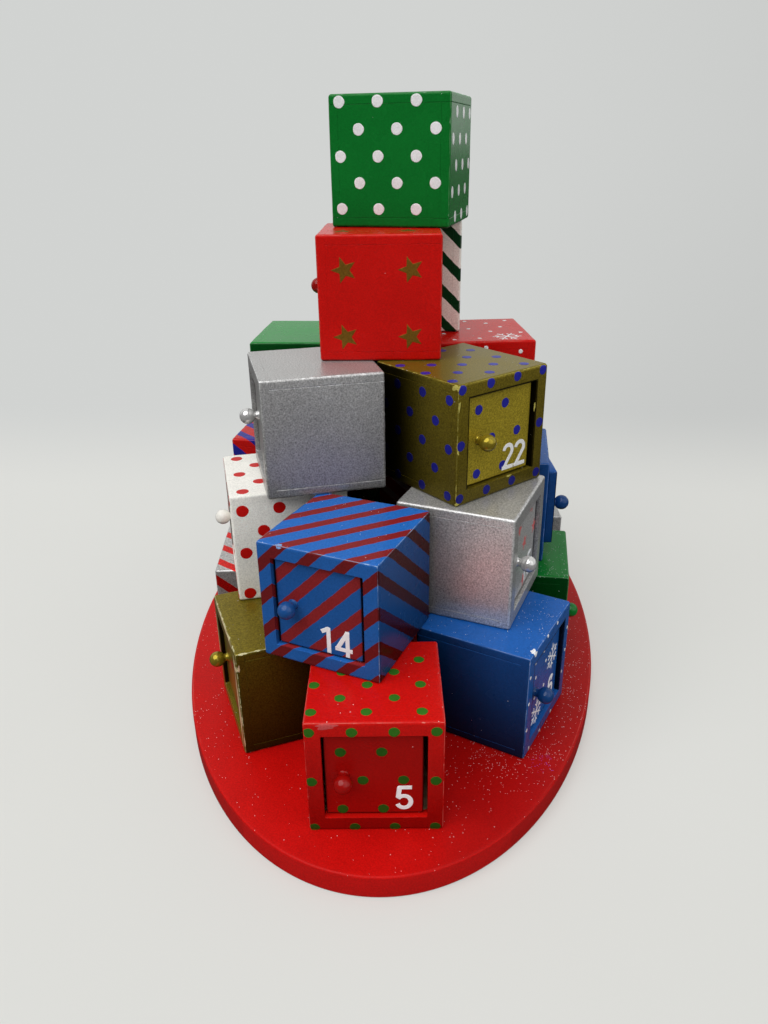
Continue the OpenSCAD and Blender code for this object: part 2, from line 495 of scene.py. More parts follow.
# Number of a box: ground paint, pattern, paint of the pattern
DESIGNS = {
    1: ("green", "flakes", "print"), 2: ("blue", "dots", "print"),
    3: ("silver", "stripes", "red"), 4: ("gold", "small_stars", "dark_red"),
    5: ("red", "dots", "leaf"), 6: ("blue", "flakes", "print"),
    7: ("green", "plain", "print"), 8: ("silver", "stars", "royal"),
    9: ("gold", "stripes", "dark_red"), 10: ("red", "stripes", "print"),
    11: ("white", "flakes", "blue"), 12: ("red", "stripes", "royal"),
    13: ("white", "dots", "red"), 14: ("sky", "stripes", "dark_red"),
    15: ("silver", "small_stars", "rose"), 16: ("blue", "plain", "print"),
    17: ("red", "dots", "print"), 18: ("red", "flakes", "print"),
    19: ("blue", "stars", "old_gold"), 20: ("green", "plain", "print"),
    21: ("silver", "plain", "print"), 22: ("gold", "dots", "royal"),
    23: ("red", "stars", "old_gold"), 24: ("white", "stripes", "dark_green"),
    25: ("green", "dots", "print"),
}
# Stripes, in cube sides: way across them, from one to the next, width, and shift
STRIPE_ACROSS = (-1.0, 0.85, 1.0)
STRIPE_PITCH = 0.29
STRIPE_WIDTH = 0.115
STRIPE_SHIFT = -0.075
# Painted shade of the stripes on a box's sides, top and front, beside that of the ground
STRIPE_PAINTED_SHADE = {14: (0.3, 0.7, 0.6)}
# Darkest and lightest colour of the bare board
BARE_BOARD = ((0.42, 0.27, 0.14), (0.56, 0.40, 0.23))
# Directions across, up and out of each painted face, seen from outside
FACES = {
    "front": ((1, 0, 0), (0, 0, 1), (0, -1, 0)),
    "right": ((0, 1, 0), (0, 0, 1), (1, 0, 0)),
    "back": ((-1, 0, 0), (0, 0, 1), (0, 1, 0)),
    "left": ((0, -1, 0), (0, 0, 1), (-1, 0, 0)),
    "top": ((1, 0, 0), (0, 1, 0), (0, 0, 1)),
}

bare, bare_tree, bare_shader, bare_where = new_material("bare_board")
bare_fibres = node(bare_tree, "Mapping", {0: bare_where, 3: (1.0, 1.0, 9.0)}).outputs[0]
bare_tone = fade(bare_tree, blotches(bare_tree, bare_fibres, 6 * MM, 5.0), 0.3, 0.7)
feed(bare_tree, bare_shader, {"Base Color": mixed(bare_tree, bare_tone, *map(solid, BARE_BOARD)),
                              "Roughness": 0.8})


def stance(number):
    """Middle of a box, and the angle from its own axes to the frame's. In its own
    axes x runs to the right of its door, y from the door to the back, and z up.
    The angle is the difference between the two directions to its hinge."""
    low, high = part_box(f"box_{number:02d}")
    middle = (np.array(low) + np.array(high)) / 2
    hinge = next(j for j in frame["joints"] if j["name"] == f"hinge_{number:02d}")
    away = np.array(hinge["pos_m"][:2]) - middle[:2]
    return middle, math.atan2(away[1], away[0]) - math.atan2(HINGE[1], HINGE[0])


def turned(points, angle, about=(0.0, 0.0)):
    """Points turned by an angle about an upright line."""
    c, s = math.cos(angle), math.sin(angle)
    x, y = points[:, 0] - about[0], points[:, 1] - about[1]
    return together(about[0] + c * x - s * y, about[1] + s * x + c * y, points[:, 2])


def ripple(points, seed):
    """Smooth unevenness from -1 to 1: the mean of six waves in random directions."""
    rng = np.random.default_rng(seed)
    waves = rng.normal(size=(6, 3)) * 2 * math.pi / (22 * MM)
    return np.sin(points @ waves.T + rng.uniform(0, 6.28, 6)).mean(axis=1)


# Cuts beside a rounded outside edge, and beside a seam
EDGE_CUTS = np.array([0, 0.15, 0.4, 0.75, 1.15, 1.5, 1.85]) * MM
SEAM_CUTS = np.array([0, 0.1, 0.3, 0.7, 1.1]) * MM


def ticks(low, high):
    """Where a board is cut into faces along one direction: close together at an
    outside edge, which is rounded, and at a seam, and wide apart between."""
    def near(end):
        return EDGE_CUTS if abs(abs(end) - HALF) < 1e-6 else SEAM_CUTS
    start, stop = low + near(low), high - near(high)
    span = stop[-1] - start[-1]
    between = np.linspace(start[-1], stop[-1], max(2, int(round(span / (8 * MM))) + 1))
    return np.unique(np.round(np.concatenate([start, between, stop]), 9))


def board_surface(low, high, ease):
    """Closed board between two corners on six grids. A point p of the sharp board
    moves to q + e d, where q is p held inside the board by the ease e along each
    axis, and d is the direction of (p - q) / e. That rounds each edge by e."""
    cuts = [ticks(a, b) for a, b in zip(low, high)]
    points, quads, count = [], [], 0
    for axis in range(3):
        first, second = (axis + 1) % 3, (axis + 2) % 3
        i, j = np.meshgrid(cuts[first], cuts[second], indexing="ij")
        for end in (low[axis], high[axis]):
            grid = np.empty((i.size, 3))
            grid[:, axis], grid[:, first], grid[:, second] = end, i.ravel(), j.ravel()
            faces = grid_quads(len(cuts[first]), len(cuts[second])) + count
            quads.append(faces[:, ::-1] if end == high[axis] else faces)
            points.append(grid)
            count += len(grid)
    sharp = np.concatenate(points)
    low, high, ease = np.array(low), np.array(high), np.array(ease)
    held = np.clip(sharp, low + ease, high - ease)
    return held + ease * unit((sharp - held) / ease), np.concatenate(quads)


def frame_surface():
    """Closed square frame: a section carried round the doorway. The section's
    points have a share of the way from the doorway to the outside, and a depth.
    A point lies at that share between the doorway's square, whose corners have a
    small radius, and the outer square. Its thin edges are eased as a board's are."""
    rail, seam = HALF - DOORWAY, SEAM_CUTS[:3]
    across = np.concatenate([seam, [0.5 * MM, 0.8 * MM, 3 * MM, 5 * MM], rail - EDGE_CUTS[::-1]])
    deep = np.concatenate([EDGE_CUTS, [3.4 * MM], BOARD - seam[::-1]])
    loop = np.concatenate([together(*side)[:-1] for side in
                           ((across, 0), (rail, deep), (across[::-1], BOARD), (0, deep[::-1]))])
    held = np.clip(loop, FILLED, np.array([rail, BOARD]) - FILLED)
    loop = held + FILLED * unit(loop - held)
    half_side = np.concatenate([HALF - EDGE_CUTS, [25 * MM, 17 * MM, 8 * MM]]) / HALF
    side = np.concatenate([half_side, [0], -half_side[::-1]])[:-1]
    square = np.concatenate([together(*edge) for edge in
                             ((side, 1), (-1, side), (-side, -1), (1, -side))])
    doorway = rounded_corners(square * DOORWAY, DOORWAY, CORNER)
    share = (loop[:, 0] / rail)[None, :, None]
    ring = doorway[:, None] * (1 - share) + square[:, None] * HALF * share
    return surface(together(ring[..., 0], loop[:, 1] - HALF, ring[..., 1]), True)


def rounded_corners(points, half, radius):
    """Points of a square or cube moved so that its corners become round: p goes
    to q + d max|d| / |d|, where q is p held inside by the radius and d = p - q."""
    held = np.clip(points, -(half - radius), half - radius)
    out = points - held
    length = np.linalg.norm(out, axis=1, keepdims=True)
    most = np.abs(out).max(axis=1, keepdims=True)
    return held + out * np.divide(most, length, out=np.ones_like(most), where=length > 1e-12)


def sanded(points, seed):
    """The cube's outside edges rounded by hand, so that the radius varies."""
    radius = ROUND * (1 + ROUND_VARIES * ripple(points, seed)[:, None])
    return rounded_corners(points, HALF, radius)


def edge_wear(points):
    """1 on an outside edge of the cube, 0 from a reach away from it."""
    reach = 2.4 * MM
    to_edge = HALF - np.sort(np.abs(points), axis=1)[:, 1]
    return np.clip(1 - to_edge / reach, 0, 1)


def dark_of_gap(points, start):
    """Painted shade of the gap round a door: 1 on the walls of the doorway, from a
    distance behind the front. Where that is zero, also a painted shadow line round
    it on the front, but not along its foot."""
    soft, wide, hair = 0.3 * MM, 0.75 * MM, 0.05 * MM
    from_front = points[:, 1] + HALF
    reach = np.abs(points[:, [0, 2]]).max(axis=1) - DOORWAY
    walls = np.clip((from_front - start) / soft, 0, 1) * (reach < hair)
    line = np.clip((wide - reach) / soft, 0, 1) * (points[:, 2] > 0.5 * MM - DOORWAY)
    line *= (reach > -FILM) * (from_front < hair) * (start == 0)
    return np.maximum(walls, line) * (from_front < BOARD + 2 * FILM)


def box_shells(number):
    """The six boards, in the box's own axes."""
    inner, behind = HALF - BOARD - FILM, -HALF + BOARD + 0.2 * FILM
    seam = SEAMS.get(number, FAINT)
    even, thin = (seam, FILLED, seam), (0.05 * MM, FILLED, seam)
    boards = [
        ((-HALF, behind, HALF - BOARD), (HALF, HALF, HALF), even),
        ((-HALF, behind, -HALF), (HALF, HALF, BOARD - HALF), even),
        ((-HALF, behind, -inner), (BOARD - HALF, HALF, inner), thin),
        ((HALF - BOARD, behind, -inner), (HALF, HALF, inner), thin),
        ((-inner, HALF - BOARD, -inner), (inner, HALF, inner), thin),
    ]
    surfaces = [board_surface(*board) for board in boards] + [frame_surface()]
    shells = []
    for points, quads in surfaces:
        shell = closed_shell(points, quads)
        from_seam = np.abs(np.abs(shell["points"][:, 2]) - (HALF - BOARD))
        pale = np.clip(1 - from_seam / PALE_REACH, 0, 1) * PALE_SEAMS.get(number, 0.0)
        shell["wear"] = np.maximum(edge_wear(shell["points"]), pale)
        centre = shell["points"][shell["quads"]].mean(axis=1)
        inside = np.abs(centre).max(axis=1) < HALF - BOARD + 0.02 * MM
        shell["finish"] = np.concatenate([inside.astype(int), np.zeros(len(shell["tris"]), int)])
        # Painted shade of the doorway's gap, and a painted shadow line round it
        shell["deep"] = dark_of_gap(shell["points"], GAP_SHADE_STARTS.get(number, 0.0))
        shell["points"] = sanded(shell["points"], number)
        shells.append(shell)
    return shells


def flat_patch(outline, rise):
    """A thin closed layer of paint over an outline round its own middle. Rings of
    the outline, shrunk step by step, climb from just under the face, over a
    rounded rim, to the layer's height. Both ends close in the middle."""
    shrink = np.array([0, 0.6, 1.0, 1.0, 0.96, 0.86, 0.7, 0.5, 0.25, 0])
    height = np.array([-0.08, -0.08, -0.08, 0.0, 0.8, 1, 1, 1, 1, 1])
    height = np.where(height < 0, height * MM, height * rise)
    flat = shrink[:, None, None] * outline
    return surface(together(flat[..., 0], flat[..., 1], height[:, None]))


def disc(radius):
    """Outline of a dot: a circle with a slight third and fifth wave."""
    t = np.arange(20) * math.pi / 10
    r = radius * (1 + 0.02 * np.sin(3 * t + 1) + 0.015 * np.cos(5 * t))
    return oval(t, r, r)


def star(radius, tilt=0.0):
    """Outline of a five-pointed star: ten rays, long and short by turns, with a
    point between each two so that the sides stay straight."""
    t = np.arange(10) * math.pi / 5 + math.pi / 2 + tilt
    r = radius * np.where(np.arange(10) % 2 == 0, 1.0, 0.42)
    tips = oval(t, r, r)
    between = (tips + np.roll(tips, -1, axis=0)) / 2
    return np.stack([tips, between], axis=1).reshape(-1, 2)


def strokes_of_flake(radius):
    """Strokes of a snowflake: three long ones through the middle, and a pair of
    short slanting ones on each of the six arms. Each is a start and an end."""
    found = []
    for arm in range(6):
        t = arm * math.pi / 3 + math.pi / 6
        along = np.array([math.cos(t), math.sin(t)])
        if arm < 3:
            found.append((-radius * along, radius * along))
        for slant in (-0.85, 0.85):
            side = np.array([math.cos(t + slant), math.sin(t + slant)])
            found.append((0.5 * radius * along, 0.5 * radius * along + 0.38 * radius * side))
    return found


def stroke(start, end, width):
    """Outline of a brush stroke round its middle: a narrow oblong with round ends."""
    along = end - start
    straight = np.linalg.norm(along) - width
    x, y = unit(along)
    cap = oval(np.linspace(-math.pi / 2, math.pi / 2, 5), width / 2, width / 2) + (straight / 2, 0)
    return np.concatenate([cap, -cap]) @ np.array([[x, y], [-y, x]])


def on_face(face, u, v, patch, out):
    """A patch laid on a face: u and v are shares of the side from the face's left
    and bottom edges, and out is how far the face lies from the box's middle."""
    across, up, outward = (np.array(d, float) for d in FACES[face])
    points, quads = patch
    middle = (u - 0.5) * SIDE * across + (v - 0.5) * SIDE * up + out * outward
    laid = points[:, :1] * across + points[:, 1:2] * up + points[:, 2:] * outward + middle
    return laid, quads


def chip(half_width, half_height, seed):
    """Outline of a flaked spot: an oval whose reach varies with the direction."""
    rng = np.random.default_rng(seed)
    t = np.arange(24) * math.pi / 12
    waves = [0.16 * np.cos(k * t + rng.uniform(0, 6.28)) for k in (2, 3, 5)]
    r = 1 + sum(waves)
    return oval(t, half_width * r, half_height * r)


# Height of a painted layer and of a flaked spot; how far each stroke of a snowflake
# rises above the one before, and its width
PAINT_RISE, CHIP_RISE = 0.07 * MM, 0.04 * MM
STROKE_RISE, STROKE_WIDTH = 0.004 * MM, 0.9 * MM
# Dots on a frame, and on a door, as shares of the side
FRAME_SPOTS = [(u, v) for v in (0.045, 0.937) for u in (0.040, 0.342, 0.640, 0.938)]
FRAME_SPOTS += [(0.040, 0.490), (0.938, 0.490)]
DOOR_SPOTS = [(0.255, 0.730), (0.550, 0.730), (0.410, 0.468), (0.705, 0.468),
              (0.255, 0.194), (0.555, 0.194)]
SPOTS_LIFT = {5: -0.02, 22: 0.02}
# Dots on the other faces: starts of the odd and of the even rows, height of the
# first row, and the steps across and up
SPREAD = {
    "left": (0.28, 0.125, 0.07, 0.31, 0.198), "right": (0.10, 0.265, 0.07, 0.31, 0.198),
    "back": (0.093, 0.25, 0.145, 0.316, 0.199), "top": (0.05, 0.25, 0.12, 0.395, 0.155),
}
# Sizes as shares of the side: usual dots and those of two boxes, stars, flakes
DOT, DOT_SIZE = 0.041, {13: 0.053, 25: 0.046}
DOOR_STAR, STAR, SMALL_STAR = 0.10, 0.107, 0.075
DOOR_FLAKE, FLAKE = 0.135, 0.14
SNOW, SNOW_SIZE = 1.05 * MM, {18: 1.3 * MM}
STAR_SPOTS = [(u, v) for u in (0.22, 0.752) for v in (0.20, 0.73)]
SMALL_STAR_SPOTS = [(0.815, 0.59), (0.50, 0.575), (0.54, 0.20), (0.30, 0.78), (0.70, 0.83)]
# Snow: dots round the flake on a face, flakes and dots on a door, dots on a frame
FLAKE_SPOTS = [(0.78, 0.33), (0.89, 0.12), (0.60, 0.22), (0.545, 0.54), (0.41, 0.35),
               (0.34, 0.075), (0.13, 0.50), (0.10, 0.735), (0.895, 0.525), (0.36, 0.80),
               (0.70, 0.76), (0.86, 0.90), (0.54, 0.94)]
FLAKES_ON_DOOR = [(0.69, 0.60), (0.36, 0.235)]
SPOTS_ON_DOOR = [(0.512, 0.414), (0.278, 0.639), (0.729, 0.336), (0.28, 0.43), (0.45, 0.80),
                 (0.52, 0.66), (0.60, 0.20), (0.25, 0.80)]
SPOTS_ON_FRAME = [(0.03, 0.81), (0.035, 0.55), (0.03, 0.29), (0.91, 0.31), (0.38, 0.03),
                  (0.67, 0.036), (0.12, 0.975), (0.41, 0.98), (0.65, 0.97), (0.96, 0.75),
                  (0.95, 0.52), (0.12, 0.04)]
# Colour under flaked paint, where it isn't that of worn edges
BARED = {4: (0.58, 0.45, 0.27), 5: (0.58, 0.075, 0.075), 6: (0.88, 0.88, 0.90),
         14: (0.20, 0.36, 0.66), 22: (0.50, 0.44, 0.10)}
# Flaked spots: face, place, and half of the width and height in millimetres
CHIPS = {
    4: [("front", 0.985, 0.84, 0.7, 2.6), ("right", 0.02, 0.86, 0.8, 1.8),
        ("front", 0.945, 0.42, 2.2, 20.0), ("front", 0.93, 0.86, 1.6, 5.0),
        ("front", 0.5, 0.984, 24.0, 0.55), ("front", 0.03, 0.55, 0.6, 14.0)],
    5: [("front", 0.165, 0.972, 5.2, 1.5)],
    6: [("front", 0.118, 0.985, 1.9, 1.6), ("top", 0.118, 0.02, 2.0, 1.6)],
    14: [("front", 0.20, 0.985, 1.4, 0.8), ("top", 0.20, 0.015, 1.6, 0.9)],
    22: [("front", 0.02, 0.97, 1.8, 1.5), ("left", 0.97, 0.975, 2.6, 1.5),
         ("front", 0.012, 0.83, 0.7, 2.3), ("front", 0.012, 0.46, 0.6, 1.1),
         ("front", 0.865, 0.66, 0.5, 2.4), ("front", 0.60, 0.118, 2.0, 0.5),
         ("front", 0.01, 0.02, 1.6, 1.0)],
}


def spread_of_dots(number, face):
    """Rows of dots on a face, each shifted half a step from the next."""
    odd, even, first_v, step_u, step_v = SPREAD[face]
    shift = 0.065 if (number, face) == (13, "top") else 0.0
    return [(u, v)
            for row, v in enumerate(np.arange(first_v, 0.97, step_v))
            for u in np.arange((even if row % 2 else odd) + shift, 0.97, step_u)]


def flake(face, u, v, radius):
    """A snowflake: its strokes as patches, each a hair above the one before."""
    found = []
    for order, (start, end) in enumerate(strokes_of_flake(radius * SIDE)):
        middle = (start + end) / 2 / SIDE
        patch = flat_patch(stroke(start, end, STROKE_WIDTH), PAINT_RISE + order * STROKE_RISE)
        found.append((face, u + middle[0], v + middle[1], patch))
    return found


def patches(number, door):
    """All painted shapes of a box or of its door: a face, a place and a patch."""
    pattern = DESIGNS[number][1]
    others = ("right", "left", "back", "top")

    def on_front(spots, patch):
        return [("front", u, v, patch) for u, v in spots]

    def on_others(spots, patch):
        return [(face, u, v, patch) for face in others for u, v in spots]

    if pattern == "dots":
        spot = flat_patch(disc(DOT_SIZE.get(number, DOT) * SIDE), PAINT_RISE)
        lift = SPOTS_LIFT.get(number, 0.0)
        found = on_front([(u, v + lift) for u, v in (DOOR_SPOTS if door else FRAME_SPOTS)], spot)
        if door:
            return found
        return found + [(face, u, v, spot) for face in others
                        for u, v in spread_of_dots(number, face)]
    if pattern == "stars" and door:
        return on_front([(0.5, 0.62)], flat_patch(star(DOOR_STAR * SIDE), PAINT_RISE))
    if pattern == "stars":
        return on_others(STAR_SPOTS, flat_patch(star(STAR * SIDE, math.pi / 2), PAINT_RISE))
    if pattern == "small_stars" and door:
        return [("front", u, v, flat_patch(star(SMALL_STAR * SIDE, 3 * u), PAINT_RISE))
                for u, v in SMALL_STAR_SPOTS]
    if pattern != "flakes":
        return []
    snow = flat_patch(disc(SNOW_SIZE.get(number, SNOW)), PAINT_RISE * 1.3)
    if door:
        found = [part for u, v in FLAKES_ON_DOOR for part in flake("front", u, v, DOOR_FLAKE)]
        return found + on_front(SPOTS_ON_DOOR, snow)
    found = []
    if number != 6:
        found = [part for face in others for part in flake(face, 0.183, 0.235, FLAKE)]
        found += on_others(FLAKE_SPOTS, snow)
    return found + on_front(SPOTS_ON_FRAME, snow)


def painted_shells(number, placed, finish, out, sand):
    """Closed shells of shapes that are laid on faces, in the box's own axes."""
    shells = []
    for face, u, v, patch in placed:
        shell = closed_shell(*on_face(face, u, v, patch, out), finish)
        if sand:
            shell["points"] = sanded(shell["points"], number)
        shells.append(shell)
    return shells


def chips(number):
    """The flaked spots of a box: thin layers a hair above its paint."""
    return [(face, u, v, flat_patch(chip(wide * MM, high * MM, 100 * number + order), CHIP_RISE))
            for order, (face, u, v, wide, high) in enumerate(CHIPS.get(number, []))]


def put_in_place(shells, number):
    """Stores each point's place in cube sides, and takes the shells from the box's
    own axes to where the box stands."""
    middle, angle = stance(number)
    for shell in shells:
        shell["place"] = shell["points"] / SIDE
        shell["points"] = turned(shell["points"], angle) + middle
    return shells


# Glitter and flaking, where they aren't the usual 0.5
GLITTERS = {4: 1.0, 6: 3.0, 7: 5.0, 15: 1.8, 22: 0.9}
FLAKING = {4: 1.0, 15: 0.7, 21: 0.85, 22: 0.75}
# How much lighter or darker than its box a door is: its own paint and painted light and shade
DOOR_TONES_AND_PAINTED_LIGHT = {5: 0.56, 14: 0.85, 15: 1.4, 22: 2.4}
# Painted light and shade of a box's two sides at their foot, head and back
SIDE_PAINTED_LIGHT_AND_SHADE = {3: (0.8, 1.0, 1.0), 4: (0.14, 0.55, 0.36), 6: (0.08, 0.56, 0.5),
              7: (0.16, 0.3, 0.8), 12: (0.6, 0.9, 1.0), 14: (0.38, 0.75, 0.9),
              15: (1.3, 2.0, 0.5), 16: (0.5, 0.65, 1.0), 20: (0.3, 0.4, 1.0),
              21: (0.74, 1.40, 1.0), 22: (0.6, 1.0, 0.06)}
# Painted shade of a back that lies inside the stack, as it does up to the third step
BACK_PAINTED_SHADE = 0.08
LAST_INSIDE = 22
# Painted light: how much lighter a box's top is
TOP_PAINTED_LIGHT = {3: 1.2, 4: 1.1, 6: 1.12, 14: 1.35, 15: 1.15, 20: 1.5, 21: 1.1}
# Painted light and shade of a front at its foot and head
FRONT_PAINTED_LIGHT_AND_SHADE = {5: (0.4, 0.95), 6: (0.7, 1.0), 22: (0.6, 1.1)}


def ground_paint(number, shift, name, tone=1.0, sides=NO_PAINTED_LIGHT):
    """The paint of a box or door, with its stripes if it has any."""
    ground, pattern, second = DESIGNS[number]
    stripes = None
    if pattern == "stripes":
        stripes = (STRIPE_ACROSS, STRIPE_PITCH, STRIPE_WIDTH, STRIPE_SHIFT + shift,
                   PAINTS[second][0], *STRIPE_PAINTED_SHADE.get(number, (1.0,) * 3))
    colour, worn = PAINTS[ground]
    worn = BARED[22] if number == 22 else worn
    shiny = {"silver": 0.55, "gold": 0.45}.get(ground, 0.0)
    colour = tuple(part * tone for part in colour)
    return paint(f"{name}_{number:02d}", colour, worn, metal=shiny,
                 rough=0.34 if shiny else 0.27, grain=0.24 if shiny else 0.08,
                 glitter=GLITTERS.get(number, 0.5), chips=FLAKING.get(number, 0.5),
                 stripes=stripes, sides=sides)


def pattern_paint(number, name, tone=1.0, sides=NO_PAINTED_LIGHT):
    """The paint of the shapes on a box or door."""
    second = DESIGNS[number][2]
    colour, worn = PAINTS[second]
    shiny = 0.4 if second == "old_gold" else 0.0
    # A door's darker tone carries painted shade of its recess onto its shapes too
    colour = tuple(part * min(tone, 1.0) for part in colour)
    return paint(f"{name}_{number:02d}", colour, worn, metal=shiny, glitter=0.1,
                 grain=0.14 if shiny else 0.05, sides=sides)


for number, (ground, _, _) in DESIGNS.items():
    shells = (box_shells(number) + painted_shells(number, patches(number, False), 2, HALF, True)
              + painted_shells(number, chips(number), 3, HALF, True))
    bared = BARED.get(number, PAINTS[ground][1])
    # Painted light and shade of the box's faces, in the order that paint takes
    top = TOP_PAINTED_LIGHT.get(number, 1.0)
    sides = (*SIDE_PAINTED_LIGHT_AND_SHADE.get(number, (1.0,) * 3), BACK_PAINTED_SHADE if number <= LAST_INSIDE else 1.0,
             top, top, *FRONT_PAINTED_LIGHT_AND_SHADE.get(number, (1.0, 1.0)))
    finishes = [ground_paint(number, 0.0, "box_paint", sides=sides), bare,
                pattern_paint(number, "box_pattern", sides=sides),
                paint(f"box_chips_{number:02d}", bared, bared, rough=0.5, grain=0.08, glitter=0.0)]
    join_shells(f"painted_box_{number:02d}", put_in_place(shells, number), finishes,
                "stack", [f"box_{number:02d}"])


# Doors
# Each is a board that hangs 2.3 mm back in its frame, with a wide gap on its hinge
# side. A turned ball knob is glued into it and painted with it, and its number
# is printed at the lower right, in white unless the ground is white.
LEAF_LEFT, LEAF_RIGHT = -23.9 * MM, 22.9 * MM
LEAF_HALF = 24.0 * MM
# How far the board's face lies from the box's middle, and how its edges and corners
# are rounded
LEAF_FACE = 30.2 * MM
LEAF_EASE = 0.45 * MM
LEAF_CORNER = 1.8 * MM
# Place of the knob on the door, and how far its middle lies from the door's face
KNOB_X = -14.9 * MM
KNOB_OUT = 6.2 * MM
KNOB_RADIUS = 4.5 * MM
# How far a door's stripes are shifted from its frame's
STRIPES_ON_DOOR = 0.179
# How much lighter or darker than its box a knob is, where it isn't half as light
KNOB_TONES = {"silver": 1.7, "gold": 1.8, "white": 0.95, "green": 1.0, "sky": 0.7}
# Height of a figure, and its width and stroke as shares of it
FIGURE_HIGH = 14.9 * MM
FIGURE_WIDE = 0.575
FIGURE_THICK = 0.152
# Right end and foot of a number in millimetres from the door's middle, and the gap
# between two figures as a share of their height; and those of two doors
FIGURES_AT = (17.9, -21.8, 0.035)
ODD_FIGURES_AT = {14: (16.2, -23.3, -0.04), 22: (20.7, -21.8, 0.035)}
# Paint of the figures where white ones wouldn't show
FIGURE_PAINTS = {10: "dark_green", 11: "blue", 13: "red", 24: "red"}


def arc(x, y, rx, ry, start, stop):
    """Points along a part of an ellipse between two angles in degrees."""
    t = np.radians(np.linspace(start, stop, 3 + int(abs(stop - start) / 15)))
    return oval(t, rx, ry) + (x, y)


def figure_strokes(digit):
    """Middle lines of a plain figure's strokes. The height is 1, and lines stop
    half a stroke short of it where they run along the top or the foot."""
    h, w = FIGURE_THICK / 2, FIGURE_WIDE
    c, r, high = w / 2, w / 2 - h, 1 - h
    bowl = arc(c, 0.31, r, 0.31 - h, -180, 180)
    hook = np.concatenate([[[h, 0.31], [h, 0.52]], arc(c, 0.72, r, 0.28 - h, 180, 25)])
    return {
        "0": [arc(c, 0.5, r, 0.5 - h, -180, 180)],
        "1": [[[0.30, 0], [0.30, 1]], [[0.33, 0.96], [0.04, 0.78]]],
        "2": [np.concatenate([arc(c, 0.71, r, 0.29 - h, 172, -28), [[h + 0.02, h]]]),
              [[0, h], [w, h]]],
        "3": [arc(c, 0.74, r * 0.92, 0.26 - h, 160, -90), arc(c, 0.29, r, 0.29 - h, 90, -165)],
        "4": [[[w - 0.12, 0], [w - 0.12, 1]], [[0, 0.26], [w + 0.06, 0.26]],
              [[w - 0.12, 0.94], [h, 0.27]]],
        "5": [[[0.10, high], [w - 0.04, high]], [[0.145, 0.97], [0.09, 0.50]],
              arc(c - 0.01, 0.325, r + 0.01, 0.325 - h, 148, -158)],
        "6": [bowl, hook],
        "7": [[[0, high], [w, high]], [[w - 0.06, high], [0.19, 0]]],
        "8": [arc(c, 0.74, r * 0.88, 0.26 - h, -180, 180), arc(c, 0.29, r, 0.29 - h, -180, 180)],
        "9": [(w, 1) - bowl, (w, 1) - hook],
    }[digit]


def ribbon(line, width, rise):
    """A flat closed strip of paint along a line. Each point of the line carries a
    section of ten points, whose width follows the normal of the line there, and
    both ends close in the middle of their section."""
    line = np.array(line, float)
    ring = np.allclose(line[0], line[-1])
    if not ring:
        first, last = (0.3 * MM * unit(way) for way in (line[1] - line[0], line[-2] - line[-1]))
        line = np.concatenate([line[:1], line[:1] + first, line[1:-1],
                               line[-1:] + last, line[-1:]])
    steps = unit(np.diff(line, axis=0))
    before = np.concatenate([steps[-1:] if ring else steps[:1], steps])
    after = np.concatenate([steps, steps[:1] if ring else steps[-1:]])
    along = unit(before + after)
    reach = 1 / np.maximum((along * after).sum(axis=1), 0.5)
    normal = together(-along[:, 1], along[:, 0]) * reach[:, None]
    half = width / 2
    across = np.array([-half, -half, 0.08 * MM - half, 0.16 * MM - half, 0.4 * MM - half])
    across = np.concatenate([across, -across[::-1]])
    height = np.array([-0.05 * MM, 0.2 * rise, 0.9 * rise, rise, rise])
    height = np.concatenate([height, height[::-1]])
    flat = line[:, None] + across[None, :, None] * normal[:, None]
    grid = together(flat[..., 0], flat[..., 1], height)
    if not ring:
        ends = [np.broadcast_to(row.mean(axis=0), (1, 10, 3)) for row in (grid[0], grid[-1])]
        grid = np.concatenate([ends[0], grid, ends[1]])
    return surface(grid)


def leaf_shell():
    """The door board: a board as the box's boards are, whose upright outline then
    gets its four corners rounded."""
    points, quads = board_surface((LEAF_LEFT, -LEAF_FACE, -LEAF_HALF),
                                  (LEAF_RIGHT, BOARD - LEAF_FACE, LEAF_HALF), (LEAF_EASE,) * 3)
    middle = (LEAF_LEFT + LEAF_RIGHT) / 2
    flat = points[:, [0, 2]] - (middle, 0)
    half = np.array([(LEAF_RIGHT - LEAF_LEFT) / 2, LEAF_HALF])
    points[:, [0, 2]] = rounded_corners(flat, half, LEAF_CORNER) + (middle, 0)
    shell = closed_shell(points, quads)
    to_edge = (half - np.abs(shell["points"][:, [0, 2]] - (middle, 0))).min(axis=1)
    shell["wear"] = np.clip(1 - to_edge / (1.2 * MM), 0, 1) * 0.7
    # Painted shade of the recess: a dark line round the front edge, and edges half dark
    rim = 1 - (to_edge - 0.5 * MM) / (0.3 * MM)
    on_front = shell["points"][:, 1] + LEAF_FACE < 0.5 * MM
    shell["deep"] = np.clip(rim, 0, 1) * np.where(on_front, 1.0, 0.5)
    return shell


def knob_shell(finish):
    """Turned ball on a neck: a profile of radius and distance from the door's face,
    carried round the knob's axis. It ends closed inside the door."""
    t = np.linspace(0.52, math.pi, 20)
    neck = np.array([[0, -1.2], [2.2, -1.2], [2.9, 0], [2.5, 0.35], [2.25, 0.9], [2.2, 1.8]]) * MM
    ball = together(KNOB_RADIUS * np.sin(t), KNOB_OUT - KNOB_RADIUS * np.cos(t))
    radius, out = np.concatenate([neck, ball]).T[..., None]
    radius[-1] = 0
    around = 36
    angle = np.arange(around) * 2 * math.pi / around
    grid = together(KNOB_X + radius * np.cos(angle), -LEAF_FACE - out, radius * np.sin(angle))
    return closed_shell(*surface(grid), finish)


